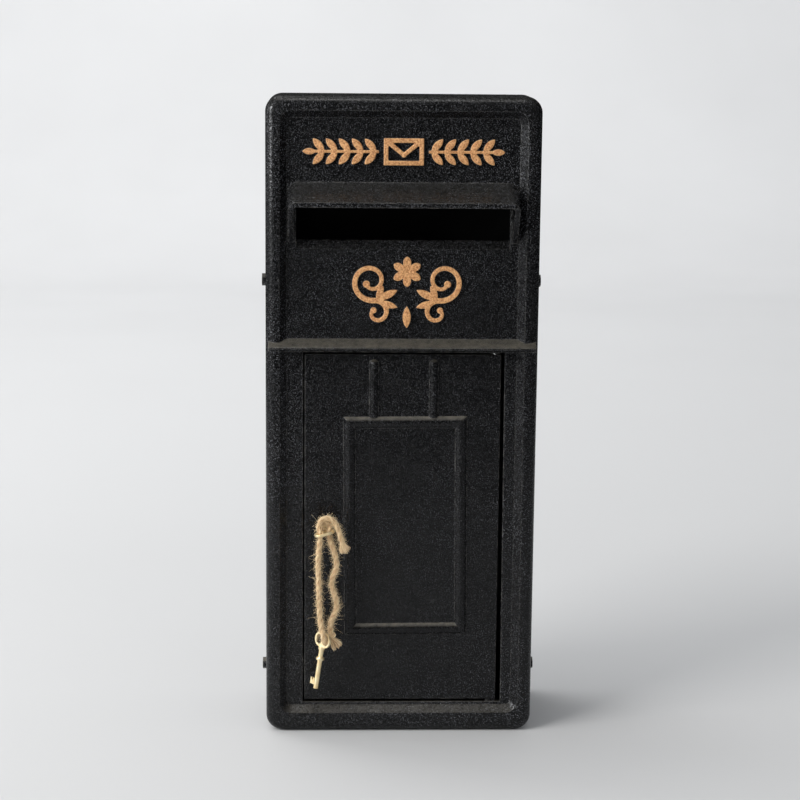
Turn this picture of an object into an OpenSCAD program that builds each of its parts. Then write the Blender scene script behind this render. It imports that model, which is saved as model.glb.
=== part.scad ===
// Cast iron wall letter box: hooded aperture, ledge, locking door, folded steel body.
// Millimetres, +Z up, the front faces -Y. The base stands on Z = 0.

/* [Casting] */
// Overall width of the front casting
body_w = 252; // [236:1:300]
// Overall height of the front casting
body_h = 600; // [570:1:680]
// Depth from the rim's crown to the back of the steel body
body_d = 130; // [110:1:180]
// Depth of the casting's side walls
flange_d = 58; // [52:1:80]
// Metal thickness of the casting
wall = 6; // [5:0.5:8]
// Radius of the casting's four corners, seen from the front
corner_r = 15; // [12:1:22]
// Radius of the rounded outer front edge
edge_r = 9; // [6:0.5:11]
// Depth of the flat fields behind the rim's crown
recess = 6; // [4:0.5:8]
// Width of the rim at each side, to the foot of its slope
rim_side = 19.5; // [17:0.5:24]
// Width of the rim at the top
rim_top = 20; // [18:0.5:26]
// Width of the rim at the foot
rim_foot = 25; // [22:0.5:30]
// Width of the rim's inner slope
slope_w = 6.6; // [4:0.2:9]
// Radius of the field's corners, at the foot of the slope
field_r = 5; // [3:0.5:12]

/* [Aperture and hood] */
// Distance from the top of the casting down to the aperture's lower edge
slot_drop = 139.5; // [130:0.5:150]
// Width of the aperture
slot_w = 196; // [180:1:198]
// Height of the sloping sill at the aperture's lower edge
sill_h = 8; // [4:0.5:12]
// Clear height above the sill's back edge
slot_h = 42; // [34:1:44]
// Overall width of the hood
hood_w = 210; // [206:1:212]
// How far the hood stands forward of the rim's crown
hood_out = 26; // [18:1:34]
// Height of the hood's root above the aperture's lower edge
hood_rise = 61; // [58:0.5:66]
// Fall of the hood's top from root to lip
hood_fall = 16; // [10:1:20]
// Height of the hood's front lip
lip_h = 4.5; // [3:0.5:6]
// Thickness of the hood's cheeks
cheek_t = 5; // [4:0.5:7]
// Radius of the hood's upper corners
hood_r = 8; // [6.5:0.5:10]

/* [Ledge] */
// Height of the ledge's top, at the field behind it
ledge_z = 377.5; // [372:0.5:384]
// How far the ledge stands forward of the rim's crown
ledge_out = 7; // [4:0.5:12]
// Fall of the ledge's sloping top
ledge_fall = 6; // [3:0.5:8]
// Height of the ledge's nose
nose_h = 3; // [2:0.5:5]
// Distance from the casting's side to the ledge's end
ledge_inset = 2.5; // [2:0.5:8]

/* [Door] */
// Height of the door opening's foot above the base
opening_z = 27.5; // [27:0.5:34]
// Height of the door opening
opening_h = 337.5; // [320:0.5:338]
// Distance from the casting's left side to the door opening
stile_left = 34.6; // [33.6:0.2:38]
// Distance from the casting's right side to the door opening, at its head
stile_right = 30.6; // [30:0.2:36]
// How much wider the opening is at its foot
opening_taper = 1.4; // [0:0.1:2]
// Thickness of the door
door_t = 5; // [4:0.5:7]
// Gap between door and frame on the lock side
gap_lock = 1.6; // [1.2:0.1:3]
// Gap between door and frame on the hinge side
gap_hinge = 3.4; // [3.4:0.1:5]
// Gap under the door
gap_foot = 3; // [2.5:0.1:5]
// Gap over the door
gap_head = 2; // [1.5:0.1:4]
// Width of the beaded panel, outside its beads
panel_w = 115; // [100:1:125]
// Height of the beaded panel, outside its beads
panel_h = 210; // [190:1:216]
// Height of the panel's centre above the base
panel_z = 199.5; // [196:0.5:206]
// Distance of the panel's centre from the body's centre line
panel_x = 4.7; // [0:0.1:6]
// Lean of the panel on the door, in degrees
panel_lean = 0.55; // [0:0.05:1]
// Width of the panel's bead
bead_w = 10.8; // [8:0.2:13]
// Height of the panel's bead
bead_h = 3.6; // [2.5:0.1:5]
// Distance between the two upright beads
upright_gap = 55.6; // [44:0.2:70]
// Length of the upright beads above the panel
upright_h = 55; // [40:1:56]
// Width of the upright beads
upright_w = 8; // [6:0.2:10]

/* [Hinge] */
// Radius of the two hinge pins
pin_r = 2.5; // [2:0.1:3]
// Running clearance of the pins in their bores
pin_play = 0.05; // [0.02:0.01:0.1]
// Radius of the hinge bosses on the door
boss_r = 4.7; // [4.4:0.1:5.2]
// Height of the hinge bosses on the door
boss_h = 20; // [14:1:30]
// Thickness of the washer that carries the door
thrust_t = 1.8; // [1.2:0.1:2.2]

/* [Steel body] */
// Thickness of the sheet steel
sheet_t = 1.5; // [1:0.1:2]
// Clearance between the steel body and the casting's walls
sheet_play = 0.3; // [0.2:0.1:1]
// How far the steel body starts behind the rim's crown
sheet_start = 22; // [20:1:30]
// Spacing of the wall fixing holes across
fix_x = 160; // [120:1:180]
// Spacing of the wall fixing holes up the back
fix_z = 440; // [430:1:480]
// Radius of the wall fixing holes
fix_r = 4; // [3:0.5:5]

/* [Side bolts] */
// Height of the lower pair of side bolts
bolt_low_z = 57; // [50:1:90]
// Height of the upper pair of side bolts
bolt_high_z = 428.5; // [400:0.5:480]
// Distance of the side bolts behind the rim's crown
bolt_y = 36; // [32:1:42]
// Thread radius of the side bolts
bolt_r = 3; // [2.5:0.5:4]
// Width of the hexagon heads and nuts across the corners
hex_w = 11.5; // [10:0.5:15]
// Height of the hexagon heads
hex_h = 4; // [3:0.5:6]

/* [Lock and key] */
// Distance of the key's axis from the door's free edge
key_in = 18.8; // [17:0.2:24]
// Height of the key's axis above the base
key_z = 198; // [180:0.5:230]
// Depth of the lock case behind the door
case_d = 22; // [21.5:0.5:26]
// Width of the lock case
case_w = 50; // [46:1:60]
// Height of the lock case
case_h = 42; // [40:1:50]
// Metal thickness of the lock case
case_t = 1.5; // [1:0.1:2]
// Travel of the lock bolt
throw = 13; // [10:0.5:14]
// Height of the lock bolt
bolt_h = 12; // [10:0.5:14]
// Thickness of the lock bolt
bolt_t = 5; // [4:0.5:6]
// Radius of the key's shank
shank_r = 2.3; // [1.8:0.1:2.6]
// Length of the key from its tip to its shoulder
key_reach = 28; // [27:0.5:28.5]
// Gap between the key's shoulder and the door's face
key_stand = 1.2; // [0.6:0.1:2]
// Length of the key from its shoulder to its bow
key_neck = 12.5; // [8:0.5:16]
// Length of the key's bow along the shank
bow_l = 14; // [12:0.5:18]
// Width of the key's bow
bow_w = 19; // [18:0.5:22]
// Thickness of the key's bow and bit
bow_t = 2.4; // [1.8:0.1:2.8]
// Distance of the bit's tip from the key's axis
bit_r = 7.2; // [6.5:0.1:7.6]
// Angle of the key at rest, from level
key_rest = 14; // [8:1:20]
// Turn of the key between the bolt's two ends
key_turn = 152; // [120:1:160]

/* [Ornament] */
// Height of the raised ornament above its field
relief = 1.4; // [0.8:0.1:2]
// Distance from the top of the casting to the upper ornament's centre
band_drop = 50.5; // [46:0.5:56]
// Height of the centre of the lower ornament
scroll_z = 421; // [414:1:428]
// Distance of the lower ornament's centre from the centre line
scroll_x = 4; // [-6:0.5:8]

/* [Twine] */
// Radius of the twine
twine_r = 2.3; // [1.6:0.1:2.5]

/* [Hidden] */
$fn = 64;
e = 1; // overlap that makes a cut pass clean through a face

iron = [0.09, 0.09, 0.1];
gold = [0.82, 0.58, 0.32];
brass = [0.86, 0.74, 0.42];
steel = [0.55, 0.55, 0.57];
jute = [0.78, 0.62, 0.44];

// The hood or the key sets how far the object reaches forward of the rim's crown
key_len = key_reach + key_neck + bow_l;
key_front = key_len - key_reach + key_stand - recess;
y_front = (max(key_front, hood_out) - body_d) / 2;

// Fields
field_w = body_w - 2 * rim_side;
back_y = recess + wall;
slot_z = body_h - slot_drop;
hood_z = slot_z + hood_rise;
lip_z = hood_z - hood_fall;

// Door and hinge
open_l = -body_w / 2 + stile_left;
open_r = body_w / 2 - stile_right;
door_l = open_l + gap_lock;
door_r = open_r - gap_hinge;
door_z = opening_z + gap_foot;
door_top = opening_z + opening_h - gap_head;
door_back = recess + door_t;
hinge_x = door_r - boss_r - 0.2;
hinge_y = recess + boss_r + 1.3;
lug_r = pin_r + pin_play;
lug_w = 2 * boss_r;
seat_gap = 0.2;
low_lug_z = door_z - seat_gap - thrust_t;
pin_grip = 16;
stop_play = 0.3;

// Steel body
box_w = body_w - 2 * (wall + sheet_play);
box_h = body_h - 2 * (wall + sheet_play);
box_z = wall + sheet_play;
box_r = corner_r - wall - sheet_play;

// Side bolts
wall_in = body_w / 2 - wall - sheet_play - sheet_t;
washer_t = 1.6;
nut_h = 5;
bolt_reach = 2;
bolt_zs = [bolt_low_z, bolt_high_z];

// Lock, from the key's axis
kx = door_l + key_in;
key_tip_y = recess - key_stand + key_reach;
case_l = door_l + 3.4;
case_r = case_l + case_w;
case_z = key_z - 17;
plate_back = door_back + case_t;
case_back = door_back + case_d;
bit_l = 6;
bit_up = 3;
bit_y = key_tip_y - bit_up - bit_l;
lb_y = bit_y + 1.6;
lb_z = key_z + 4.4;
lb_end = case_l - 0.2;
lb_len = case_w - case_t - 1;
talon_w = 7.4;
stud_r = 1.6;
stud_x = kx + throw / 2 + talon_w / 2 + 4;
stud_z = lb_z + bolt_h / 2 + 1;
screw_r = 2;
ward_r = 4.5;
ward_t = 0.8;

// Shapes shared by several pieces

module in_frame() translate([0, y_front, 0]) children();

// Rounded rectangle standing upright, seen from the front, from y0 to y1
module front_slab(x0, x1, z0, z1, y0, y1, r) {
    translate([0, y1, 0]) rotate([90, 0, 0]) linear_extrude(y1 - y0) round_rect(x0, x1, z0, z1, r);
}

module round_rect(x0, x1, y0, y1, r) {
    translate([x0 + r, y0]) square([x1 - x0 - 2 * r, y1 - y0]);
    translate([x0, y0 + r]) square([x1 - x0, y1 - y0 - 2 * r]);
    for (x = [x0 + r, x1 - r], y = [y0 + r, y1 - r]) translate([x, y]) circle(r);
}

module block(x0, x1, y0, y1, z0, z1) {
    translate([x0, y0, z0]) cube([x1 - x0, y1 - y0, z1 - z0]);
}

// A profile drawn as [depth, height], run along X
module along_x(x0, x1) {
    translate([x0, 0, 0]) rotate([90, 0, 90]) linear_extrude(x1 - x0) children();
}

// A bore or pin along Y
module along_y(x, z, y0, y1, r) {
    translate([x, y1, z]) rotate([90, 0, 0]) cylinder(h = y1 - y0, r = r);
}

// Front casting

// Upright slab with turned corners: its edge section, drawn as [from the corner's axis, depth],
// runs round all four sides, and a plain block from y0 to y1 fills the middle
module edged_slab(half_w, z0, z1, r, y0, y1) {
    hx = half_w - r;
    for (m = [0, 1]) mirror([m, 0, 0]) {
        translate([hx, 0, z1 - r]) rotate([-90, 0, 0]) mirror([0, 1, 0])
            rotate_extrude(angle = 90) children();
        translate([hx, 0, z0 + r]) mirror([0, 0, 1]) rotate([-90, 0, 0]) mirror([0, 1, 0])
            rotate_extrude(angle = 90) children();
        translate([hx, 0, z0 + r]) linear_extrude(z1 - z0 - 2 * r) children();
    }
    for (m = [0, 1]) translate([-hx, 0, m == 0 ? z0 + r : z1 - r]) mirror([0, 0, 1 - m])
        rotate([90, 0, 90]) linear_extrude(2 * hx) mirror([1, 0]) rotate(90) children();
    block(-hx, hx, y0, y1, z0 + r, z1 - r);
}

// Outer block of the casting, with its rounded front edge
module casting_block() edged_slab(body_w / 2, 0, body_h, corner_r, 0, flange_d) {
    square([corner_r - edge_r, flange_d]);
    translate([0, edge_r]) square([corner_r, flange_d - edge_r]);
    intersection() {
        translate([corner_r - edge_r, edge_r]) circle(edge_r);
        translate([corner_r - edge_r, 0]) square(edge_r);
    }
}

// The sunk front field, with the rim's slope round it
module field_cut() edged_slab(field_w / 2, rim_foot, body_h - rim_top, field_r, -e, recess)
    polygon([[0, -e], [field_r + slope_w * (1 + e / recess), -e], [field_r, recess], [0, recess]]);

// Hollow back of the casting, with a groove behind the rim
module back_cut() {
    front_slab(-body_w / 2 + wall, body_w / 2 - wall, wall, body_h - wall,
               back_y, flange_d + e, corner_r - wall);
    groove = rim_side - slope_w + 1;
    for (s = [-1, 1])
        block(min(s * (body_w / 2 - wall - 1), s * (body_w / 2 - groove)),
              max(s * (body_w / 2 - wall - 1), s * (body_w / 2 - groove)),
              wall + 1.5, back_y + e, corner_r, body_h - corner_r);
}

// Side view of the hood: sloping top, upright lip, cheeks running back to the face
module hood_side() {
    polygon([
        [back_y - 2, hood_z + 2],
        [recess, hood_z],
        [-hood_out, lip_z],
        [-hood_out, lip_z - lip_h],
        [recess, slot_z + cheek_foot],
        [back_y - 2, slot_z + cheek_foot]
    ]);
}

// Bar with rounded upper corners that runs forward and down as the hood's top does
module hood_bar(half_w, sink, r, y0, y1) {
    translate([0, recess, hood_z]) rotate([atan(hood_fall / (hood_out + recess)), 0, 0])
        front_slab(-half_w, half_w, -120, -sink, y0, y1, r);
}

cheek_foot = 6;
module hood() {
    difference() {
        intersection() {
            along_x(-hood_w / 2, hood_w / 2) hood_side();
            hood_bar(hood_w / 2, 0, hood_r, -2 * hood_out, back_y);
        }
        intersection() {
            hood_bar(hood_w / 2 - cheek_t, lip_h - 0.4, hood_r - cheek_t, -2 * hood_out, back_y);
            block(-hood_w / 2, hood_w / 2, -hood_out - e, recess, slot_z - e, hood_z);
        }
    }
}

// Sloping sill and clear way of the aperture
module slot_way() {
    along_x(-slot_w / 2, slot_w / 2) polygon([
        [recess - 0.5, slot_z],
        [recess, slot_z],
        [back_y, slot_z + sill_h],
        [back_y + e, slot_z + sill_h],
        [back_y + e, slot_z + slot_h + sill_h],
        [recess - 0.5, slot_z + slot_h + sill_h]
    ]);
}

module ledge() {
    x1 = body_w / 2 - ledge_inset;
    along_x(-x1, x1) polygon([
        [back_y - 2, ledge_z + 0.5],
        [recess, ledge_z],
        [-ledge_out + 1, ledge_z - ledge_fall],
        [-ledge_out, ledge_z - ledge_fall - 1],
        [-ledge_out, ledge_z - ledge_fall - nose_h + 0.7],
        [-ledge_out + 0.7, ledge_z - ledge_fall - nose_h],
        [-ledge_out + 4, ledge_z - ledge_fall - nose_h - 1.5],
        [recess, ledge_z - ledge_fall - nose_h - 3],
        [back_y - 2, ledge_z - ledge_fall - nose_h - 3]
    ]);
}

module opening_cut() {
    translate([0, back_y + e, 0]) rotate([90, 0, 0]) linear_extrude(back_y + 2 * e) polygon([
        [open_l, opening_z],
        [open_r + opening_taper, opening_z],
        [open_r, opening_z + opening_h],
        [open_l, opening_z + opening_h]
    ]);
}

// Lugs for the two hinge pins, stops behind the door's free edge, and the keep for the lock bolt
module lugs() {
    block(hinge_x - lug_w / 2, hinge_x + lug_w / 2, hinge_y - boss_r, hinge_y + boss_r,
          door_top + 1, door_top + pin_grip + 2);
    block(hinge_x - lug_w / 2, hinge_x + lug_w / 2, hinge_y - boss_r, hinge_y + boss_r,
          wall - 1, low_lug_z);
    for (z = [door_z + 25, door_top - 35])
        block(open_l - 6, door_l + 5, door_back + stop_play, door_back + stop_play + 6, z, z + 14);
    block(open_l - 12, open_l - 0.3, back_y - e, lb_y - 0.3, lb_z - 3, lb_z + bolt_h + 3);
}

module pin_bores() {
    translate([hinge_x, hinge_y, door_top]) cylinder(h = pin_grip - 2, r = lug_r);
    translate([hinge_x, hinge_y, low_lug_z - pin_grip + 2]) cylinder(h = pin_grip, r = lug_r);
}

module side_holes(r) {
    for (s = [-1, 1], z = bolt_zs)
        translate([s * body_w / 2, bolt_y, z]) rotate([0, -90 * s, 0])
            translate([0, 0, -e]) cylinder(h = wall + sheet_play + sheet_t + 2 * e, r = r);
}

// A leaf between two arcs, from the origin along +X
module leaf(l, w) {
    r = (l * l / 4 + w * w / 4) / w;
    intersection() {
        translate([l / 2, r - w / 2]) circle(r);
        translate([l / 2, w / 2 - r]) circle(r);
    }
}

// Closed outline of a stroke along pts, w[i] wide at each point
function side_at(p, i) =
    let (a = p[max(i - 1, 0)], b = p[min(i + 1, len(p) - 1)], d = b - a) [-d[1], d[0]] / norm(d);
function stroke(p, w) = concat(
    [for (i = [0 : len(p) - 1]) p[i] + side_at(p, i) * w[i] / 2],
    [for (i = [len(p) - 1 : -1 : 0]) p[i] - side_at(p, i) * w[i] / 2]
);
// Points of a spiral that turns from a0 to a1 as its radius goes from r0 to r1
function spiral(c, r0, r1, a0, a1, n) = [
    for (i = [0 : n]) let (t = i / n, a = a0 + (a1 - a0) * t, r = r0 + (r1 - r0) * t)
        c + r * [cos(a), sin(a)]
];

// Upper ornament: a letter between two leafy branches
band_half = 92;
letter_w = 36;
letter_h = 24;
line_w = 3.6;
module letter_sign() {
    difference() {
        square([letter_w, letter_h], center = true);
        square([letter_w - 2 * line_w, letter_h - 2 * line_w], center = true);
    }
    flap = [[-letter_w / 2 + line_w / 2, letter_h / 2 - line_w / 2], [0, -letter_h * 0.12],
            [letter_w / 2 - line_w / 2, letter_h / 2 - line_w / 2]];
    polygon(stroke(flap, [line_w, line_w * 1.2, line_w]));
}

leaf_pairs = 5;
module branch() {
    start = letter_w / 2 + 7;
    step = (band_half - 14 - start) / (leaf_pairs - 0.5);
    translate([start - 2, -1]) square([band_half - start - 8, 2]);
    for (i = [0 : leaf_pairs - 1]) translate([start + i * step, 0]) {
        rotate(48) translate([0.6, 0]) leaf(15, 6);
        rotate(-48) translate([0.6, 0]) leaf(15, 6);
    }
    translate([band_half - 12, 0]) leaf(12, 5.4);
}

// Lower ornament: two scrolls back to back under a rosette
scroll_r = 18;
curl_r = 11.5;
module scroll_half() {
    eye = [33, 10];
    join = eye + scroll_r * [cos(-100), sin(-100)];
    curl = join + curl_r * [cos(-100), sin(-100)];
    n = 34;
    big = spiral(eye, scroll_r, 5, -100, 330, n);
    small = spiral(curl, curl_r, 3.6, 80, 400, n);
    polygon(stroke(big, [for (i = [0 : n]) 4.6 - 2 * i / n]));
    polygon(stroke(small, [for (i = [0 : n]) 4.4 - 2 * i / n]));
    translate(big[n]) circle(3);
    translate(small[n]) circle(2.6);
    translate(join + [-3, 1]) rotate(154) leaf(20, 6.4);
    translate(join + [-4, -1]) rotate(197) leaf(18, 5.6);
    translate(join + [-2, 2]) rotate(118) leaf(13, 5);
}

petals = 6;
module rosette() {
    for (i = [0 : petals - 1]) rotate(90 + i * 360 / petals) translate([3.4, 0]) leaf(10.5, 7);
    circle(4.2);
}

module ornament_flat() {
    translate([0, body_h - band_drop]) {
        letter_sign();
        branch();
        mirror([1, 0]) branch();
    }
    translate([scroll_x, scroll_z]) {
        scroll_half();
        mirror([1, 0]) scroll_half();
        translate([0, 19]) rosette();
        translate([0, -13]) rotate(-90) leaf(20, 7);
    }
}

module ornament() {
    translate([0, recess + 0.5, 0]) rotate([90, 0, 0]) linear_extrude(relief + 0.5) ornament_flat();
}

module front_casting() in_frame() {
    color(iron) difference() {
        union() {
            difference() {
                casting_block();
                field_cut();
                back_cut();
                opening_cut();
            }
            hood();
            ledge();
            lugs();
        }
        slot_way();
        pin_bores();
        side_holes(bolt_r + 0.3);
    }
    color(gold) ornament();
}

// Steel body: one sheet pressed and folded into a tray
module rear_box() in_frame() color(iron) difference() {
    front_slab(-box_w / 2, box_w / 2, box_z, box_z + box_h, sheet_start, body_d, box_r);
    front_slab(-box_w / 2 + sheet_t, box_w / 2 - sheet_t, box_z + sheet_t, box_z + box_h - sheet_t,
               sheet_start - e, body_d - sheet_t, box_r - sheet_t);
    for (x = [-fix_x / 2, fix_x / 2], z = [body_h / 2 - fix_z / 2, body_h / 2 + fix_z / 2])
        along_y(x, z, body_d - sheet_t - e, body_d + e, fix_r);
    side_holes(bolt_r + 0.3);
}

module at_bolts() {
    for (s = [-1, 1], z = bolt_zs)
        translate([s * body_w / 2, bolt_y, z]) rotate([0, 90 * s, 0]) children();
}

bolt_len = wall + sheet_play + sheet_t + washer_t + nut_h + bolt_reach;
module side_bolts() in_frame() color(iron) at_bolts() {
    cylinder(h = hex_h, d = hex_w, $fn = 6);
    translate([0, 0, -bolt_len]) cylinder(h = bolt_len + e, r = bolt_r);
}

module side_washers() in_frame() color(steel) at_bolts()
    translate([0, 0, -(body_w / 2 - wall_in) - washer_t]) difference() {
        cylinder(h = washer_t, r = bolt_r * 2);
        translate([0, 0, -e]) cylinder(h = washer_t + 2 * e, r = bolt_r + 0.1);
    }

module side_nuts() in_frame() color(steel) at_bolts()
    translate([0, 0, -(body_w / 2 - wall_in) - washer_t - nut_h]) difference() {
        cylinder(h = nut_h, d = hex_w, $fn = 6);
        translate([0, 0, -e]) cylinder(h = nut_h + 2 * e, r = bolt_r + 0.02);
    }

// Door

// Radius of a round bar that shows w wide and h high above the door's face
function bar_r(w, h) = (w * w / 4 + h * h) / (2 * h);

// One side of the panel's bead, l long between its outer corners, with mitred ends
module bead_side(l) {
    r = bar_r(bead_w, bead_h);
    intersection() {
        translate([-l / 2, recess + r - bead_h, -bead_w / 2]) rotate([0, 90, 0]) cylinder(h = l, r = r);
        translate([0, recess + 1, 0]) rotate([90, 0, 0]) linear_extrude(bead_h + 2)
            polygon([[-l / 2, 0], [l / 2, 0], [l / 2 - bead_w, -bead_w], [-l / 2 + bead_w, -bead_w]]);
    }
}

module panel_bead() {
    for (s = [0, 180]) rotate([0, s, 0]) translate([0, 0, panel_h / 2]) bead_side(panel_w);
    for (s = [90, 270]) rotate([0, s, 0]) translate([0, 0, panel_w / 2]) bead_side(panel_h);
}

// Upright bead with a round head
module upright_bead() {
    r = bar_r(upright_w, bead_h - 0.4);
    top = upright_h - r;
    intersection() {
        translate([0, recess + r - bead_h + 0.4, 0]) rotate_extrude() {
            square([r, top]);
            translate([0, top]) intersection() {
                circle(r);
                square(r);
            }
        }
        block(-r, r, 0, recess + 1, 0, upright_h);
    }
}

module keyhole() {
    along_y(kx, key_z, 0, plate_back + e, shank_r + 0.5);
    block(kx - bow_t / 2 - 0.5, kx + bow_t / 2 + 0.5, 0, plate_back + e, key_z - bit_r - 0.8, key_z);
}

module screw_spots() {
    for (x = [case_l + 4, case_r - 4], z = [case_z + 4, case_z + case_h - 4])
        translate([x, 0, z]) children();
}

module door() in_frame() color(iron) difference() {
    union() {
        block(door_l, door_r, recess, door_back, door_z, door_top);
        translate([panel_x, 0, panel_z]) rotate([0, -panel_lean, 0]) panel_bead();
        for (s = [-1, 1])
            translate([panel_x - 2.6 + s * upright_gap / 2, 0, panel_z + panel_h / 2 - 1]) upright_bead();
        for (z = [door_z, door_top - boss_h])
            translate([hinge_x, hinge_y, z]) cylinder(h = boss_h, r = boss_r);
    }
    for (z = [door_z, door_top - boss_h])
        translate([hinge_x, hinge_y, z - e]) cylinder(h = boss_h + 2 * e, r = pin_r + pin_play);
    keyhole();
    screw_spots() along_y(0, 0, recess + 2, door_back + e, screw_r);
}

// Hinge pins and washer

module upper_hinge_pin() in_frame() color(steel)
    translate([hinge_x, hinge_y, door_top - boss_h + 2])
        cylinder(h = boss_h + pin_grip - 4.2, r = pin_r);

module lower_hinge_pin() in_frame() color(steel)
    translate([hinge_x, hinge_y, low_lug_z - pin_grip + 2])
        cylinder(h = pin_grip - 2 + thrust_t + seat_gap + boss_h - 2, r = pin_r);

module thrust_washer() in_frame() color(brass) translate([hinge_x, hinge_y, low_lug_z]) difference() {
    cylinder(h = thrust_t, r = boss_r - 0.2);
    translate([0, 0, -e]) cylinder(h = thrust_t + 2 * e, r = pin_r + pin_play);
}

// Lock

module lock_plate() in_frame() color(steel) difference() {
    block(case_l, case_r, door_back, plate_back, case_z, case_z + case_h);
    keyhole();
    screw_spots() along_y(0, 0, door_back - e, plate_back + e, screw_r + 0.2);
}

module lock_case() in_frame() color(steel) difference() {
    union() {
        difference() {
            block(case_l, case_r, plate_back, case_back, case_z, case_z + case_h);
            block(case_l + case_t, case_r - case_t, plate_back - e, case_back - case_t,
                  case_z + case_t, case_z + case_h - case_t);
        }
        screw_spots() along_y(0, 0, plate_back, case_back, screw_r + 1.8);
    }
    screw_spots() along_y(0, 0, plate_back - e, case_back + e, screw_r + 0.2);
    along_y(kx, key_z, case_back - case_t - e, case_back + e, shank_r + 0.2);
    block(case_l - e, case_l + case_t + e, lb_y - 0.2, lb_y + bolt_t + 0.2, lb_z - 0.2, lb_z + bolt_h + 0.2);
}

module lock_screws() in_frame() color(steel) screw_spots() {
    along_y(0, 0, recess + 2.4, case_back, screw_r - 0.02);
    along_y(0, 0, case_back, case_back + 1.8, screw_r + 1.6);
}

// Ring on the plate that only the right key's slotted bit can pass
module ward_ring() in_frame() color(steel) difference() {
    along_y(kx, key_z, plate_back, lb_y - 0.3, ward_r + ward_t);
    along_y(kx, key_z, plate_back - e, lb_y, ward_r);
    block(kx - bow_t / 2 - 1, kx + bow_t / 2 + 1, plate_back - e, lb_y, key_z - 8, key_z);
}

module bolt_stud() in_frame() color(steel)
    along_y(stud_x, stud_z, lb_y + 0.4, case_back - case_t, stud_r);

module lock_bolt() in_frame() color(brass) difference() {
    block(lb_end, lb_end + lb_len, lb_y, lb_y + bolt_t, lb_z, lb_z + bolt_h);
    // notch that the key's bit drives
    block(kx + throw / 2 - talon_w / 2, kx + throw / 2 + talon_w / 2, lb_y - e, lb_y + bolt_t + e,
          lb_z - e, key_z + bit_r + 0.5);
    // slot for the guide stud
    translate([stud_x, 0, stud_z]) {
        for (x = [0, throw]) along_y(x, 0, lb_y - e, lb_y + bolt_t + e, stud_r + 0.1);
        block(0, throw, lb_y - e, lb_y + bolt_t + e, -stud_r - 0.1, stud_r + 0.1);
    }
}

// Bent strip on the bolt's top edge, which rubs on the case and holds the bolt where it stands
spring_t = 0.5;
module bolt_spring() in_frame() color(steel) {
    z0 = lb_z + bolt_h;
    z1 = case_z + case_h - case_t - 0.2;
    x0 = lb_end + 22;
    translate([0, lb_y + bolt_t - 0.5, 0]) rotate([90, 0, 0]) linear_extrude(bolt_t - 1) polygon([
        [x0, z0], [x0 + 5, z0], [x0 + 11, z1 - spring_t], [x0 + 14, z1 - spring_t - 1.4],
        [x0 + 14.3, z1 - 1.2], [x0 + 11, z1], [x0 + 10.6, z1], [x0 + 4.6, z0 + spring_t], [x0, z0 + spring_t]
    ]);
}

// Key, standing on its tip along +Z, with its bit towards +X

hole_w = bow_w / 2 - 3.1;
module bow_flat() {
    difference() {
        round_rect(-bow_w / 2, bow_w / 2, 0, bow_l, 6.6);
        for (s = [-1, 1]) translate([s * (hole_w / 2 + 0.9), 0])
            round_rect(-hole_w / 2, hole_w / 2, 2.4, bow_l - 2.4, hole_w / 2 - 0.2);
    }
}

module key_solid() {
    neck_z = key_reach + key_neck;
    rotate_extrude() {
        square([shank_r, neck_z + 1]);
        translate([0, key_reach - 0.2]) square([shank_r + 1.2, 2.8]);
        translate([0, key_reach + 0.4]) square([shank_r + 1.6, 1.6]);
        translate([0, neck_z - 2.2]) square([shank_r + 0.8, 2.6]);
    }
    translate([0, bow_t / 2, neck_z]) rotate([90, 0, 0]) linear_extrude(bow_t) bow_flat();
    difference() {
        block(0, bit_r, -bow_t / 2, bow_t / 2, bit_up, bit_up + bit_l);
        block(ward_r - 0.3, ward_r + ward_t + 0.3, -bow_t, bow_t,
              bit_up + bit_l - 2.2, bit_up + bit_l + e);
    }
}

module key() in_frame() color(brass)
    translate([kx, key_tip_y, key_z]) rotate([0, -key_rest, 0]) rotate([90, 0, 0]) key_solid();

// The spare key hangs on the twine with its bow half turned. From here on, places are measured
// from the axis of the key in the lock, at the rim's crown.
module at_key() in_frame() translate([kx, 0, key_z]) children();

spare_tip = [-8, -14.5, -150];
spare_tilt = 8.2;
spare_turn = 135;
module spare_key() at_key() color(brass)
    translate(spare_tip) rotate([0, spare_tilt, 0]) rotate([0, 0, spare_turn]) key_solid();

// Twine: from the knot through the spare key's bow, up through the bow of the key in the lock,
// and over to a free end; and from the knot up the other side and over inside the first
left_route = [
    [5.6, -13.2, -100.4], [4.8, -14.2, -103.4], [3.2, -15.9, -104.8], [1.4, -17.7, -104.2],
    [-0.2, -19.4, -101.6], [-1.2, -20.3, -97.6], [-2, -19.8, -93], [-3.2, -17.8, -87],
    [-4.2, -16, -79], [-4.8, -15.4, -68], [-5, -15.6, -56], [-5.4, -16, -44], [-5.8, -16.4, -32],
    [-5.6, -16.8, -20], [-4.6, -17, -9.6], [-4, -17, -1], [-5.2, -16.6, 6], [-3.8, -16, 11.8],
    [1, -15.6, 14.6], [6.4, -15.8, 13.2], [10.8, -16.4, 8], [13.6, -17, 0.6], [15.8, -17.4, -6.8],
    [18, -17.6, -13.6]
];
right_route = [
    [6.2, -12.8, -97], [5.6, -12.8, -91], [7, -13, -83], [10.4, -13.4, -76], [11.6, -13.7, -69],
    [9.6, -14, -60], [6.8, -14.2, -51], [7.4, -14.4, -43], [10.6, -14.6, -35], [11.2, -14.7, -27],
    [8.8, -14.7, -17.6], [5.4, -14.7, -8], [4, -14.6, 0], [4.8, -14, 5.4], [3.4, -13, 9.2],
    [0, -12.4, 9.8], [-2.6, -12.3, 6.4], [-3.6, -12.3, 2]
];
knot_at = [6.2, -12.6, -99.4];
knot_r = 4.2;
ring_n = 8;

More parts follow.
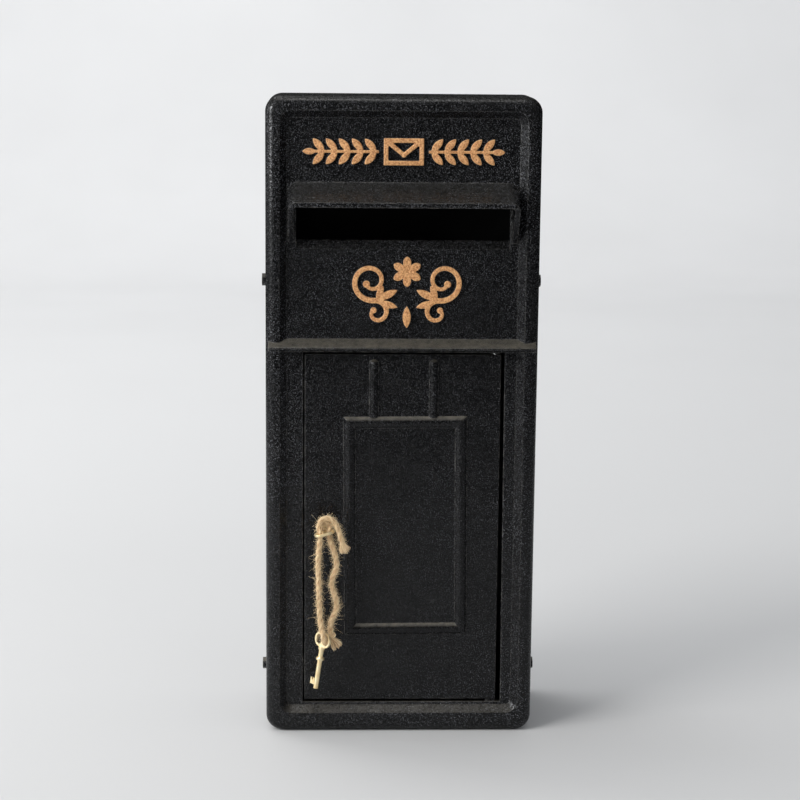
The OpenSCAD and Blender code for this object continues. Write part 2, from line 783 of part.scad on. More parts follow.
function way_at(p, i) =
    let (d = p[min(i + 1, len(p) - 1)] - p[max(i - 1, 0)]) d / norm(d);
function ring_at(p, i, r) =
    let (t = way_at(p, i), u = cross(t, [0, 1, 0]) / norm(cross(t, [0, 1, 0])), v = cross(t, u))
        [for (k = [0 : ring_n - 1]) p[i] + r * (cos(k * 360 / ring_n) * u + sin(k * 360 / ring_n) * v)];

module cord_tube(p, r) {
    n = len(p);
    points = [for (i = [0 : n - 1]) each ring_at(p, i, r)];
    faces = concat(
        [[for (k = [0 : ring_n - 1]) k]],
        [[for (k = [ring_n - 1 : -1 : 0]) (n - 1) * ring_n + k]],
        [for (i = [0 : n - 2], k = [0 : ring_n - 1])
            let (a = i * ring_n + k, b = i * ring_n + (k + 1) % ring_n)
                [a, a + ring_n, b + ring_n, b]]
    );
    polyhedron(points, faces, convexity = 6);
}

module twine() at_key() color(jute) {
    cord_tube(left_route, twine_r);
    cord_tube(right_route, twine_r);
    translate(knot_at) sphere(knot_r, $fn = 16);
}

front_casting();
rear_box();
side_bolts();
side_washers();
side_nuts();
door();
upper_hinge_pin();
lower_hinge_pin();
thrust_washer();
lock_plate();
lock_case();
lock_screws();
ward_ring();
bolt_stud();
lock_bolt();
bolt_spring();
key();
twine();
spare_key();
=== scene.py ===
import math
import random

import bmesh
import bpy
from mathutils import Matrix, Vector, noise


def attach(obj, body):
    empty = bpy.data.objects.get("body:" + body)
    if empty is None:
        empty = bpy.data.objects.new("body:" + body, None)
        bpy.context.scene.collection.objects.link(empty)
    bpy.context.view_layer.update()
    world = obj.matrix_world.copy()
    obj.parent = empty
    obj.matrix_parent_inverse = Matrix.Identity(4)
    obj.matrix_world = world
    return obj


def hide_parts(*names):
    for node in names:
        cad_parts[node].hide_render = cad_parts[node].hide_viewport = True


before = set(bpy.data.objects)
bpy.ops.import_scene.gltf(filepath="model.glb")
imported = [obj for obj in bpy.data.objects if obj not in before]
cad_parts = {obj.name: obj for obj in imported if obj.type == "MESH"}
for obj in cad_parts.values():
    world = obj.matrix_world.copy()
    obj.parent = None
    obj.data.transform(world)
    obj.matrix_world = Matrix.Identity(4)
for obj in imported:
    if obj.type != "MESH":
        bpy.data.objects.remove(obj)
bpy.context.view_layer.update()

MM = 0.001
PI = math.pi
FRONT_Y = -0.052  # the rim's crown plane
FIELD_Y = FRONT_Y + 0.006  # the sunk fields
PHOTO_PX = 800
FOCAL_PX = 2083  # fitted to the outline in the photo
CAMERA_TURN = (2.048, 10.41, 0.551)  # yaw, pitch and roll in degrees
CAMERA_AT = (-69.4, -1895.5, 669.7)


def mm(x, y, z):
    """A point given as part.scad gives it, from the rim's crown plane."""
    return Vector((x * MM, y * MM + FRONT_Y, z * MM))


# Camera


def place_camera():
    yaw, pitch, roll = (math.radians(a) for a in CAMERA_TURN)
    fwd = Vector((math.sin(yaw) * math.cos(pitch), math.cos(yaw) * math.cos(pitch), -math.sin(pitch)))
    right0 = Vector((math.cos(yaw), -math.sin(yaw), 0))
    up0 = right0.cross(fwd)
    right = math.cos(roll) * right0 + math.sin(roll) * up0
    up = -math.sin(roll) * right0 + math.cos(roll) * up0
    data = bpy.data.cameras.new("camera")
    data.sensor_width = 36
    data.lens = FOCAL_PX / PHOTO_PX * data.sensor_width
    data.clip_end = 50
    cam = bpy.data.objects.new("camera", data)
    bpy.context.collection.objects.link(cam)
    cam.matrix_world = Matrix.Translation(mm(*CAMERA_AT)) @ Matrix(
        (right, up, -fwd)
    ).transposed().to_4x4()
    bpy.context.scene.camera = cam


place_camera()


# Meshes


def new_object(name, bm, smooth=True):
    mesh = bpy.data.meshes.new(name)
    bmesh.ops.recalc_face_normals(bm, faces=bm.faces)
    bm.to_mesh(mesh)
    bm.free()
    if smooth:
        mesh.shade_smooth()
    obj = bpy.data.objects.new(name, mesh)
    bpy.context.collection.objects.link(obj)
    return obj


def dress(obj, material, body=None):
    obj.data.materials.clear()
    obj.data.materials.append(material)
    if body:
        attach(obj, body)
    return obj


def applied(obj):
    """obj's mesh with its modifiers made real."""
    graph = bpy.context.evaluated_depsgraph_get()
    mesh = bpy.data.meshes.new_from_object(obj.evaluated_get(graph))
    obj.modifiers.clear()
    old = obj.data
    obj.data = mesh
    mesh.name = obj.name
    bpy.data.meshes.remove(old)
    return obj


def smooth_path(points, step):
    """A Catmull-Rom curve through the points, cut into even steps."""
    pts = [points[0] * 2 - points[1], *points, points[-1] * 2 - points[-2]]
    fine = []
    for i in range(1, len(pts) - 2):
        p0, p1, p2, p3 = pts[i - 1 : i + 3]
        for k in range(12):
            t = k / 12
            fine.append(
                0.5 * (2 * p1 + (p2 - p0) * t + (2 * p0 - 5 * p1 + 4 * p2 - p3) * t * t
                       + (3 * p1 - p0 - 3 * p2 + p3) * t ** 3)
            )
    fine.append(pts[-2].copy())
    gone = [0.0]
    for a, b in zip(fine, fine[1:]):
        gone.append(gone[-1] + (b - a).length)
    n = max(2, round(gone[-1] / step))
    out, j = [], 0
    for i in range(n + 1):
        want = gone[-1] * i / n
        while j < len(gone) - 2 and gone[j + 1] < want:
            j += 1
        span = gone[j + 1] - gone[j]
        out.append(fine[j].lerp(fine[j + 1], 0 if span == 0 else (want - gone[j]) / span))
    return out


def path_length(points):
    return sum((b - a).length for a, b in zip(points, points[1:]))


def frames_along(path):
    """Two unit vectors across the path at each point, turned as little as can be."""
    out = []
    across = Vector((0, 1, 0))
    for i, _ in enumerate(path):
        way = (path[min(i + 1, len(path) - 1)] - path[max(i - 1, 0)]).normalized()
        across = (across - way * across.dot(way)).normalized()
        out.append((across, way.cross(across)))
    return out


def add_tube(bm, path, radius, sides, tint_and_groove_shade=None, layer=None):
    """A closed tube along path; radius is a number or one number per point."""
    radii = radius if isinstance(radius, list) else [radius] * len(path)
    rings = []
    for p, r, (u, v) in zip(path, radii, frames_along(path)):
        ring = []
        for k in range(sides):
            a = 2 * PI * k / sides
            vert = bm.verts.new(p + (u * math.cos(a) + v * math.sin(a)) * r)
            if layer is not None:
                vert[layer] = tint_and_groove_shade
            ring.append(vert)
        rings.append(ring)
    for a, b in zip(rings, rings[1:]):
        for k in range(sides):
            bm.faces.new((a[k], a[(k + 1) % sides], b[(k + 1) % sides], b[k]))
    bm.faces.new(rings[0][::-1])
    bm.faces.new(rings[-1])


# Materials


class Looks:
    """One procedural material and the nodes in it."""

    def __init__(self, name):
        self.material = bpy.data.materials.new(name)
        self.material.use_nodes = True
        self.tree = self.material.node_tree
        self.shader = self.tree.nodes["Principled BSDF"]
        self.place = self.node("ShaderNodeTexCoord").outputs["Object"]

    def node(self, kind, inputs=(), **settings):
        made = self.tree.nodes.new(kind)
        for key, value in settings.items():
            setattr(made, key, value)
        for key, value in dict(inputs).items():
            self.give(made.inputs[key], value)
        return made

    def give(self, socket, value):
        if isinstance(value, bpy.types.NodeSocket):
            self.tree.links.new(value, socket)
        elif socket.type == "RGBA":
            socket.default_value = (*value, 1.0)
        else:
            socket.default_value = value

    def set(self, **values):
        for key, value in values.items():
            self.give(self.shader.inputs[key.replace("_", " ")], value)

    def noise(self, scale, detail=3.0, rough=0.55, place=None, out="Fac"):
        found = self.node("ShaderNodeTexNoise", {"Vector": place or self.place, "Scale": scale,
                                                 "Detail": detail, "Roughness": rough})
        return found.outputs[out]

    def cells(self, scale, smooth=0.6, place=None):
        found = self.node("ShaderNodeTexVoronoi", {"Vector": place or self.place, "Scale": scale,
                                                   "Smoothness": smooth}, feature="SMOOTH_F1")
        return found.outputs["Distance"]

    def math(self, kind, a, b=0.0, clamp=False):
        made = self.node("ShaderNodeMath", operation=kind, use_clamp=clamp)
        self.give(made.inputs[0], a)
        self.give(made.inputs[1], b)
        return made.outputs[0]

    def span(self, value, low, high, to_low=0.0, to_high=1.0):
        made = self.node("ShaderNodeMapRange", {"Value": value, "From Min": low, "From Max": high,
                                                "To Min": to_low, "To Max": to_high})
        return made.outputs["Result"]

    def mix(self, part, a, b):
        made = self.node("ShaderNodeMix", data_type="RGBA")
        self.give(made.inputs[0], part)
        self.give(made.inputs[6], a)
        self.give(made.inputs[7], b)
        return made.outputs[2]

    def stretched(self, x, y, z):
        found = self.node("ShaderNodeMapping", {"Vector": self.place, "Scale": (x, y, z)})
        return found.outputs["Vector"]

    def axis(self, source, index):
        return self.node("ShaderNodeSeparateXYZ", {"Vector": source}).outputs[index]

    def facing_up(self):
        return self.axis(self.node("ShaderNodeNewGeometry").outputs["Normal"], 2)

    def rounded(self, radius):
        return self.node("ShaderNodeBevel", {"Radius": radius}, samples=6).outputs["Normal"]

    def edge(self, radius):
        """0 on flat faces, more where an edge is near."""
        made = self.node("ShaderNodeVectorMath", operation="DOT_PRODUCT")
        self.give(made.inputs[0], self.rounded(radius))
        self.give(made.inputs[1], self.node("ShaderNodeNewGeometry").outputs["True Normal"])
        return self.span(made.outputs["Value"], 0.99, 0.8)

    def bump(self, height, distance, strength=1.0, under=None):
        made = self.node("ShaderNodeBump", {"Height": height, "Distance": distance,
                                            "Strength": strength})
        if under is not None:
            self.give(made.inputs["Normal"], under)
        return made.outputs["Normal"]


def cast_paint(name, dust_and_light_by_height=False, grain_and_glints=1.0):
    """Sand-cast iron under black gloss paint: gritty, with pale flecks that are painted glints, dusty on
    top with painted top light mixed in, and worn at the edges, where painted edge highlights are mixed in.
    """
    m = Looks(name)
    base = m.mix(m.span(m.noise(60, 4), 0.35, 0.7), (0.0016, 0.0017, 0.002), (0.004, 0.004, 0.0045))
    # Pale flecks in the base colour are painted glints, standing in for light sparkling on the gritty gloss
    # paint; there are more of them near edges.
    corner = m.edge(0.005)
    low = m.math("SUBTRACT", 0.58, m.math("MULTIPLY", corner, 0.10))
    patches = m.span(m.noise(11, 3, 0.6), 0.35, 0.65, 0.35, 1.0)
    painted_glints = m.math("MULTIPLY", m.span(m.noise(930, 1, 0.5), low, 0.73), m.math("MULTIPLY", patches, grain_and_glints))
    base = m.mix(painted_glints, base, (0.120, 0.123, 0.135))
    height = m.axis(m.place, 2)
    grime = m.span(m.noise(170, 5, 0.65), 0.3, 0.7, 0.3, 1.0)
    # Up-facing faces are made lighter: partly real dust, partly painted top light.
    dust = m.math("MULTIPLY", m.span(m.facing_up(), 0.3, 0.9), grime)
    # On the front casting there is less of this dust and painted top light above the ledge and at the foot.
    if dust_and_light_by_height:
        dust = m.math("MULTIPLY", dust, m.span(height, 0.36, 0.42, 1.0, 0.22), clamp=True)
        dust = m.math("MULTIPLY", dust, m.span(height, 0.03, 0.10, 0.45, 1.0))
    # The colour of this dust and painted top light is paler below the ledge and darker above it.
    dust_and_top_light_tone = m.mix(m.span(height, 0.36, 0.42), (0.155, 0.140, 0.110), (0.07, 0.068, 0.058))
    base = m.mix(dust, base, dust_and_top_light_tone)
    # Edges are lightened: partly real paint worn through, partly painted highlight along the arrises.
    wear_and_edge_highlight = m.math("MULTIPLY", m.edge(0.0016), m.span(m.noise(150, 4, 0.7), 0.42, 0.64))
    base = m.mix(m.math("MULTIPLY", wear_and_edge_highlight, 0.85), base, (0.19, 0.18, 0.165))
    m.set(Base_Color=base, Specular_IOR_Level=0.24)
    shine = m.span(m.noise(260, 3), 0.3, 0.7, 0.18, 0.30)
    m.set(Roughness=m.math("ADD", shine, m.math("MULTIPLY", dust, 0.25)))
    waves = m.bump(m.noise(75, 2, 0.5), 0.0005, 0.5, m.rounded(0.0022))
    pebbles = m.bump(m.cells(420), 0.0002 * grain_and_glints, 0.7, waves)
    grit = m.span(m.noise(950, 1, 0.5), 0.54, 0.74)
    m.set(Normal=m.bump(grit, 0.0004 * grain_and_glints, 1.0, pebbles))
    return m


def gold_paint(name):
    """Copper-gold paint on cast relief, thin and dark on its flanks, with painted highlights along its
    edges.
    """
    m = Looks(name)
    tone = m.mix(m.span(m.noise(620, 3, 0.6), 0.36, 0.62), (0.46, 0.165, 0.045), (0.86, 0.48, 0.20))
    # Edges are lightened: painted highlight.
    tone = m.mix(m.math("MULTIPLY", m.edge(0.0009), 0.7), tone, (0.98, 0.72, 0.42))
    front = m.axis(m.node("ShaderNodeNewGeometry").outputs["True Normal"], 1)
    flank = m.span(front, -0.15, -0.6)
    chips = m.span(m.noise(380, 4, 0.7), 0.27, 0.34)
    painted = m.math("MULTIPLY", flank, chips)
    m.set(Base_Color=m.mix(painted, (0.035, 0.018, 0.009), tone), Metallic=0.15)
    m.set(Roughness=m.span(m.noise(700, 3), 0.3, 0.7, 0.36, 0.55))
    m.set(Normal=m.bump(m.noise(850, 3, 0.65), 0.0008, 0.9, m.rounded(0.0006)))
    return m


def sheet_paint(name):
    """Smooth satin black paint on sheet steel, with faint dust and scuffs."""
    m = Looks(name)
    dust = m.span(m.noise(40, 5, 0.65), 0.45, 0.8, 0.0, 0.35)
    base = m.mix(dust, (0.008, 0.0082, 0.009), (0.022, 0.021, 0.019))
    scuff = m.span(m.noise(30, 5, 0.7, m.stretched(1, 1, 9)), 0.66, 0.74, 0.0, 0.5)
    m.set(Base_Color=m.mix(scuff, base, (0.03, 0.03, 0.03)))
    m.set(Roughness=m.span(m.noise(90, 3), 0.3, 0.7, 0.34, 0.46))
    m.set(Normal=m.bump(m.noise(500, 2), 0.0001, 0.5, m.rounded(0.001)))
    return m


def brass(name):
    """Pale brass with fine scratches and darker patches at random."""
    m = Looks(name)
    tone = m.mix(m.span(m.noise(160, 4), 0.35, 0.7), (0.97, 0.84, 0.55), (0.84, 0.64, 0.33))
    m.set(Base_Color=tone, Metallic=0.8)
    scratch = m.noise(300, 4, 0.7, m.stretched(6, 6, 1))
    m.set(Roughness=m.span(scratch, 0.3, 0.7, 0.32, 0.5))
    m.set(Normal=m.bump(scratch, 0.00008, 0.6, m.rounded(0.0005)))
    return m


def zinc(name):
    """Dull zinc plate with its cloudy crystals."""
    m = Looks(name)
    spangle = m.cells(260, 0.2)
    m.set(Base_Color=m.mix(m.span(spangle, 0.1, 0.7), (0.50, 0.51, 0.53), (0.60, 0.60, 0.61)), Metallic=1.0)
    m.set(Roughness=m.span(m.noise(220, 4), 0.3, 0.7, 0.36, 0.55))
    m.set(Normal=m.bump(m.noise(500, 3), 0.00006, 0.6, m.rounded(0.0005)))
    return m


def jute(name):
    """Dry jute fibre; each bundle of fibres has its own colour, and on the twine's skin the colour is
    lighter on the crowns and darker in the grooves: painted highlight and painted shade.
    """
    m = Looks(name)
    tint_and_groove_shade = m.node("ShaderNodeAttribute", attribute_name="tint_and_groove_shade").outputs["Fac"]
    # From dark brown to pale gold; on the twine's skin the dark end is painted shade in the grooves and the
    # pale end painted highlight on the crowns.
    tone = m.mix(tint_and_groove_shade, (0.44, 0.21, 0.07), (1.0, 0.83, 0.52))
    blot = m.span(m.noise(420, 4, 0.7), 0.35, 0.7, 0.0, 0.35)
    m.set(Base_Color=m.mix(blot, tone, (0.90, 0.64, 0.36)), Roughness=0.85, Sheen_Weight=0.3)
    m.set(Normal=m.bump(m.noise(2600, 3, 0.7), 0.0002, 0.7))
    return m


CAST = cast_paint("cast_paint").material
FRONT = cast_paint("front_paint", dust_and_light_by_height=True).material
DOOR = cast_paint("door_paint", grain_and_glints=0.6).material
GOLD = gold_paint("gold_paint").material
SHEET = sheet_paint("sheet_paint").material
BRASS = brass("brass").material
ZINC = zinc("zinc").material
JUTE = jute("jute").material


# Twine


TWINE_D = 0.0046
KEY_AXIS = (-71.0, 198.0)


def by_key(x, y, z):
    """A point given from the axis of the key in the lock, as part.scad gives the twine."""
    return mm(KEY_AXIS[0] + x, y, KEY_AXIS[1] + z)


LEFT_ROUTE = [by_key(*p) for p in (
    (5.6, -13.2, -100.4), (4.8, -14.2, -103.4), (3.2, -15.9, -104.8), (1.4, -17.7, -104.2),
    (-0.2, -19.4, -101.6), (-1.2, -20.3, -97.6), (-2, -19.8, -93), (-3.2, -17.8, -87), (-4.2, -16, -79),
    (-4.8, -15.4, -68), (-5, -15.6, -56), (-5.4, -16, -44), (-5.8, -16.4, -32), (-5.6, -16.8, -20),
    (-4.6, -17, -9.6), (-4, -17, -1), (-5.2, -16.6, 6), (-3.8, -16, 11.8), (1, -15.6, 14.6),
    (6.4, -15.8, 13.2), (10.8, -16.4, 8), (13.6, -17, 0.6), (15.8, -17.4, -6.8), (18, -17.6, -13.6),
)]
RIGHT_ROUTE = [by_key(*p) for p in (
    (6.2, -12.8, -97), (5.6, -12.8, -91), (7, -13, -83), (10.4, -13.4, -76), (11.6, -13.7, -69),
    (9.6, -14, -60), (6.8, -14.2, -51), (7.4, -14.4, -43), (10.6, -14.6, -35), (11.2, -14.7, -27),
    (8.8, -14.7, -17.6), (5.4, -14.7, -8), (4, -14.6, 0), (4.8, -14, 5.4), (3.4, -13, 9.2),
    (0, -12.4, 9.8), (-2.6, -12.3, 6.4), (-3.6, -12.3, 2),
)]
KNOT_AT = by_key(6.2, -12.6, -99.4)
PLIES = 2
BUNDLES = 6
BUNDLE_R = 0.62  # of a ply
PITCH = 0.015
STEP = 0.0008
SKIN_SIDES = 44
FUZZ_REACH = (0.0015, 0.0045)
FUZZ_RADII = [0.00009, 0.00008, 0.00007, 0.00006, 0.00004]
dice = random.Random(7)


def laid_rope(bm, path, layer, thickness):
    """Plies of fibre bundles twisted round the path."""
    frames = frames_along(path)
    step = path_length(path) / (len(path) - 1)
    ply_r = thickness * 0.235
    ply_off = thickness * 0.25
    for ply in range(PLIES):
        for bundle in range(BUNDLES):
            phase = dice.uniform(-0.25, 0.25)
            drift = dice.uniform(0.85, 1.12)
            way = Vector((dice.uniform(-1, 1), dice.uniform(-1, 1), dice.uniform(-1, 1))).normalized()
            points, radii = [], []
            for i, (p, (u, v)) in enumerate(zip(path, frames)):
                s = i * step
                lump = 1 + 0.16 * noise.noise(p * 160 + way * 3)
                turn = 2 * PI * (ply / PLIES + s / PITCH)
                out = u * math.cos(turn) + v * math.sin(turn)
                side = u * -math.sin(turn) + v * math.cos(turn)
                spin = 2 * PI * (bundle / BUNDLES - s / PITCH * 1.3) + phase
                here = p + out * ply_off * lump
                here = here + (out * math.cos(spin) + side * math.sin(spin)) * ply_r * BUNDLE_R * drift
                points.append(here)
                radii.append(ply_r * BUNDLE_R * lump)
            add_tube(bm, points, radii, 6, dice.uniform(0.15, 0.95), layer)


def rope_skin(bm, path, layer):
    """The twine as one skin: plies that wind round it, with ridges of fibre along them.
    It is nipped in where it passes through the bow of the key in the lock."""
    sides, rings = SKIN_SIDES, []
    step = path_length(path) / (len(path) - 1)
    for i, (p, (u, v)) in enumerate(zip(path, frames_along(path))):
        s = i * step
        size = TWINE_D * 0.5 * (1.04 + 0.10 * noise.noise(Vector((s * 90, 3, 1))))
        in_bow = (p - by_key(0, -15, 0)) / (6 * MM)
        size *= 1 - 0.22 * math.exp(-in_bow.z ** 2 - (in_bow.x / 2) ** 2)
        ring = []
        for k in range(sides):
            a = 2 * PI * k / sides
            ply = abs(math.cos(0.5 * PLIES * (a - 2 * PI * s / PITCH)))
            b = a - 2 * PI * s / PITCH * 0.45
            along = s * 210
            fibre = noise.noise(Vector((math.cos(b) * 7, math.sin(b) * 7, along)))
            hair = noise.noise(Vector((math.cos(b) * 15, math.sin(b) * 15, along * 2 + 9)))
            r = size * (0.68 + 0.36 * ply ** 0.8 + 0.20 * fibre + 0.10 * hair)
            vert = bm.verts.new(p + (u * math.cos(a) + v * math.sin(a)) * r)
            # The vertex colour rises with the same ply, fibre and hair terms that raise the skin: lighter
            # on the crowns and ridges as painted highlight, darker in the grooves as painted shade.
            vert[layer] = min(1.0, max(0.0, 0.22 + 0.40 * ply + 0.85 * fibre + 0.45 * hair))
            ring.append(vert)
        rings.append(ring)
    for a, b in zip(rings, rings[1:]):
        for k in range(sides):
            bm.faces.new((a[k], a[(k + 1) % sides], b[(k + 1) % sides], b[k]))
    bm.faces.new(rings[0][::-1])
    bm.faces.new(rings[-1])


def off_the_door(points):
    return [Vector((p.x, min(p.y, FIELD_Y - 0.0005), p.z)) for p in points]


def add_fuzz(bm, path, count, layer):
    """Loose fibres that stand off the twine."""
    frames = frames_along(path)
    for _ in range(count):
        i = dice.randrange(1, len(path) - 1)
        u, v = frames[i]
        a = dice.uniform(0, 2 * PI)
        out = u * math.cos(a) + v * math.sin(a)
        way = (path[i + 1] - path[i - 1]).normalized() * dice.choice((-1, 1))
        lean = dice.uniform(0.2, 1.6)
        curl = Vector((dice.uniform(-1, 1), dice.uniform(-1, 1), dice.uniform(-1, 1)))
        length = dice.uniform(*FUZZ_REACH) * (2.2 if dice.random() < 0.06 else 1)
        start = path[i] + out * TWINE_D * 0.40
        points = []
        for k in range(5):
            t = k / 4
            step = (out + way * lean).normalized() * t + curl * 0.35 * t * t
            points.append(start + step * length)
        add_tube(bm, off_the_door(points), FUZZ_RADII, 3, dice.uniform(0.5, 1.0), layer)


def twine_piece(name, build):
    bm = bmesh.new()
    layer = bm.verts.layers.float.new("tint_and_groove_shade")
    build(bm, layer)
    return dress(new_object(name, bm), JUTE, "door")


def make_twine():
    left = smooth_path(LEFT_ROUTE, STEP)
    right = smooth_path(RIGHT_ROUTE, STEP)
    left_rope = twine_piece("twine_left", lambda bm, la: rope_skin(bm, left, la))
    right_rope = twine_piece("twine_right", lambda bm, la: rope_skin(bm, right, la))

    def knot(bm, layer):
        loop = []
        for i in range(61):
            t = 2 * PI * i / 60
            loop.append(KNOT_AT + Vector((
                (math.sin(t) + 1.7 * math.sin(2 * t)) * 0.00115,
                -math.sin(3 * t) * 0.0013,
                (math.cos(t) - 1.7 * math.cos(2 * t)) * 0.00115,
            )))
        laid_rope(bm, loop, layer, thickness=0.0036)

    def brush(bm, layer, at, way, count, length, spread, thick):
        """A frayed end: fibres that leave the twine at `at` and open round `way`."""
        side = way.cross(Vector((0, 1, 0))).normalized()
        for _ in range(count):
            lean, deep = dice.uniform(-1, 1), dice.uniform(-1, 1)
            start = at + (side * lean * 0.9 + Vector((0, deep, 0))) * thick
            out = (way + side * lean * spread + Vector((0, deep * spread * 0.6, 0))).normalized()
            bend = Vector((dice.uniform(-1, 1), dice.uniform(-1, 1), dice.uniform(-1, 1))) * 0.0013
            reach = length * dice.uniform(0.75, 1.1) * (1 - 0.15 * abs(lean))
            points = [start + out * reach * k / 5 + bend * (k / 5) ** 2 for k in range(6)]
            radius = dice.uniform(0.00016, 0.00036)
            add_tube(bm, off_the_door(points), radius, 4, dice.uniform(0.15, 1.0), layer)

    def tail(bm, layer):
        at = KNOT_AT + Vector((0.1, 0, -2.0)) * MM
        brush(bm, layer, at, Vector((0.62, -0.1, -0.80)), 190, 0.0115, 0.42, 0.0017)

    def free_end(bm, layer):
        way = (left[-1] - left[-8]).normalized()
        brush(bm, layer, left[-8], way, 210, 0.0095, 0.40, 0.0019)

    knot_piece = twine_piece("twine_knot", knot)
    tail_piece = twine_piece("twine_tail", tail)
    free_piece = twine_piece("twine_free_end", free_end)
    fuzz_left = twine_piece("twine_fuzz_left", lambda bm, la: add_fuzz(bm, left, 2600, la))
    fuzz_right = twine_piece("twine_fuzz_right", lambda bm, la: add_fuzz(bm, right, 2200, la))
    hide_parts("twine")


make_twine()


# Raised ornament


RELIEF = 2.1
SPREAD = 0.35  # what the smoothing takes off each side
BAND_Z = 549.5
SCROLL_AT = (4.0, 421.0)
VOXEL = 0.00042


def turned(points, angle, at=(0.0, 0.0)):
    c, s = math.cos(math.radians(angle)), math.sin(math.radians(angle))
    return [(at[0] + x * c - y * s, at[1] + x * s + y * c) for x, y in points]


def leaf(length, width, n=9):
    """A leaf between two arcs, from the origin along +X."""
    length, width = length + 2 * SPREAD, width + 2 * SPREAD
    r = (length ** 2 / 4 + width ** 2 / 4) / width
    half = math.asin(length / 2 / r)
    upper = [(length / 2 - SPREAD + r * math.sin(half * (2 * i / n - 1)),
              width / 2 - r + r * math.cos(half * (2 * i / n - 1))) for i in range(n + 1)]
    return upper + [(x, -y) for x, y in upper[-2:0:-1]]


def disc(x, y, r, n=20):
    r = r + SPREAD
    return [(x + r * math.cos(2 * PI * i / n), y + r * math.sin(2 * PI * i / n)) for i in range(n)]


def bar(x0, x1, y0, y1):
    s = SPREAD
    return [(x0 - s, y0 - s), (x1 + s, y0 - s), (x1 + s, y1 + s), (x0 - s, y1 + s)]


def strokes(points, widths):
    """A stroke along points as short overlapping pieces."""
    out = []
    for i in range(len(points) - 1):
        (x0, y0), (x1, y1) = points[i], points[i + 1]
        a, b = points[max(i - 1, 0)], points[min(i + 2, len(points) - 1)]
        n0 = Vector((-(y1 - a[1]), x1 - a[0])).normalized() * (widths[i] / 2 + SPREAD)
        n1 = Vector((-(b[1] - y0), b[0] - x0)).normalized() * (widths[i + 1] / 2 + SPREAD)
        out.append([(x0 + n0.x, y0 + n0.y), (x0 - n0.x, y0 - n0.y),
                    (x1 - n1.x, y1 - n1.y), (x1 + n1.x, y1 + n1.y)])
    return out


def spiral(c, r0, r1, a0, a1, n):
    out = []
    for i in range(n + 1):
        t = i / n
        a, r = math.radians(a0 + (a1 - a0) * t), r0 + (r1 - r0) * t
        out.append((c[0] + r * math.cos(a), c[1] + r * math.sin(a)))
    return out


def mirrored(shapes):
    return [[(-x, y) for x, y in shape[::-1]] for shape in shapes]


def band_shapes():
    w, h, line, band_half, pairs = 36, 24, 3.6, 92, 5
    shapes = [bar(-w / 2, w / 2, h / 2 - line, h / 2), bar(-w / 2, w / 2, -h / 2, -h / 2 + line),
              bar(-w / 2, -w / 2 + line, -h / 2, h / 2), bar(w / 2 - line, w / 2, -h / 2, h / 2)]
    flap = [(-w / 2 + line / 2, h / 2 - line / 2), (0, -h * 0.12), (w / 2 - line / 2, h / 2 - line / 2)]
    shapes += strokes(flap, [line, line * 1.2, line])
    shapes.append(disc(0, -h * 0.12, line * 0.55))
    start = w / 2 + 7
    step = (band_half - 14 - start) / (pairs - 0.5)
    branch = [bar(start - 2, band_half - 10, -1, 1)]
    for i in range(pairs):
        for tilt in (48, -48):
            c, s = math.cos(math.radians(tilt)), math.sin(math.radians(tilt))
            branch.append(turned(leaf(15, 6), tilt, (start + i * step + 0.6 * c, 0.6 * s)))
    branch.append(turned(leaf(12, 5.4), 0, (band_half - 12, 0)))
    return shapes + branch + mirrored(branch)


def scroll_shapes():
    scroll_r, curl_r, n = 18, 11.5, 34
    eye = (33, 10)
    c, s = math.cos(math.radians(-100)), math.sin(math.radians(-100))
    join = (eye[0] + scroll_r * c, eye[1] + scroll_r * s)
    curl = (join[0] + curl_r * c, join[1] + curl_r * s)
    big = spiral(eye, scroll_r, 5, -100, 330, n)
    small = spiral(curl, curl_r, 3.6, 80, 400, n)
    half = strokes(big, [4.6 - 2 * i / n for i in range(n + 1)])
    half += strokes(small, [4.4 - 2 * i / n for i in range(n + 1)])
    half += [disc(*big[n], 3), disc(*small[n], 2.6)]
    half += [turned(leaf(20, 6.4), 154, (join[0] - 3, join[1] + 1)),
             turned(leaf(18, 5.6), 197, (join[0] - 4, join[1] - 1)),
             turned(leaf(13, 5), 118, (join[0] - 2, join[1] + 2))]
    shapes = half + mirrored(half)
    for i in range(6):
        a = 90 + i * 60
        at = (3.4 * math.cos(math.radians(a)), 19 + 3.4 * math.sin(math.radians(a)))
        shapes.append(turned(leaf(10.5, 7), a, at))
    shapes.append(disc(0, 19, 4.2))
    shapes.append(turned(leaf(20, 7), -90, (0, -13)))
    return shapes


def carving(name, shapes, at):
    """Cast relief: the shapes raised from the field, fused and rounded as a casting is."""
    bm = bmesh.new()
    for shape in shapes:
        low = [bm.verts.new(mm(at[0] + x, 6.8, at[1] + z)) for x, z in shape]
        top = [bm.verts.new(mm(at[0] + x, 6 - RELIEF, at[1] + z)) for x, z in shape]
        bm.faces.new(low)
        bm.faces.new(top[::-1])
        for k in range(len(shape)):
            j = (k + 1) % len(shape)
            bm.faces.new((low[k], top[k], top[j], low[j]))
    bmesh.ops.triangulate(bm, faces=[f for f in bm.faces if len(f.verts) > 4])
    obj = new_object(name, bm)
    remesh = obj.modifiers.new("fuse", "REMESH")
    remesh.mode = "VOXEL"
    remesh.voxel_size = VOXEL
    remesh.use_smooth_shade = True
    smooth = obj.modifiers.new("round", "SMOOTH")
    smooth.factor = 0.5
    smooth.iterations = 5
    applied(obj)
    for v in obj.data.vertices:
        if v.co.y < FIELD_Y - 0.0008:
            v.co.y += noise.noise(v.co * 130) * 0.00035
    dress(obj, GOLD, "housing")
    return obj


carving("band_carving", band_shapes(), (0, BAND_Z))
carving("scroll_carving", scroll_shapes(), SCROLL_AT)


# CAD nodes


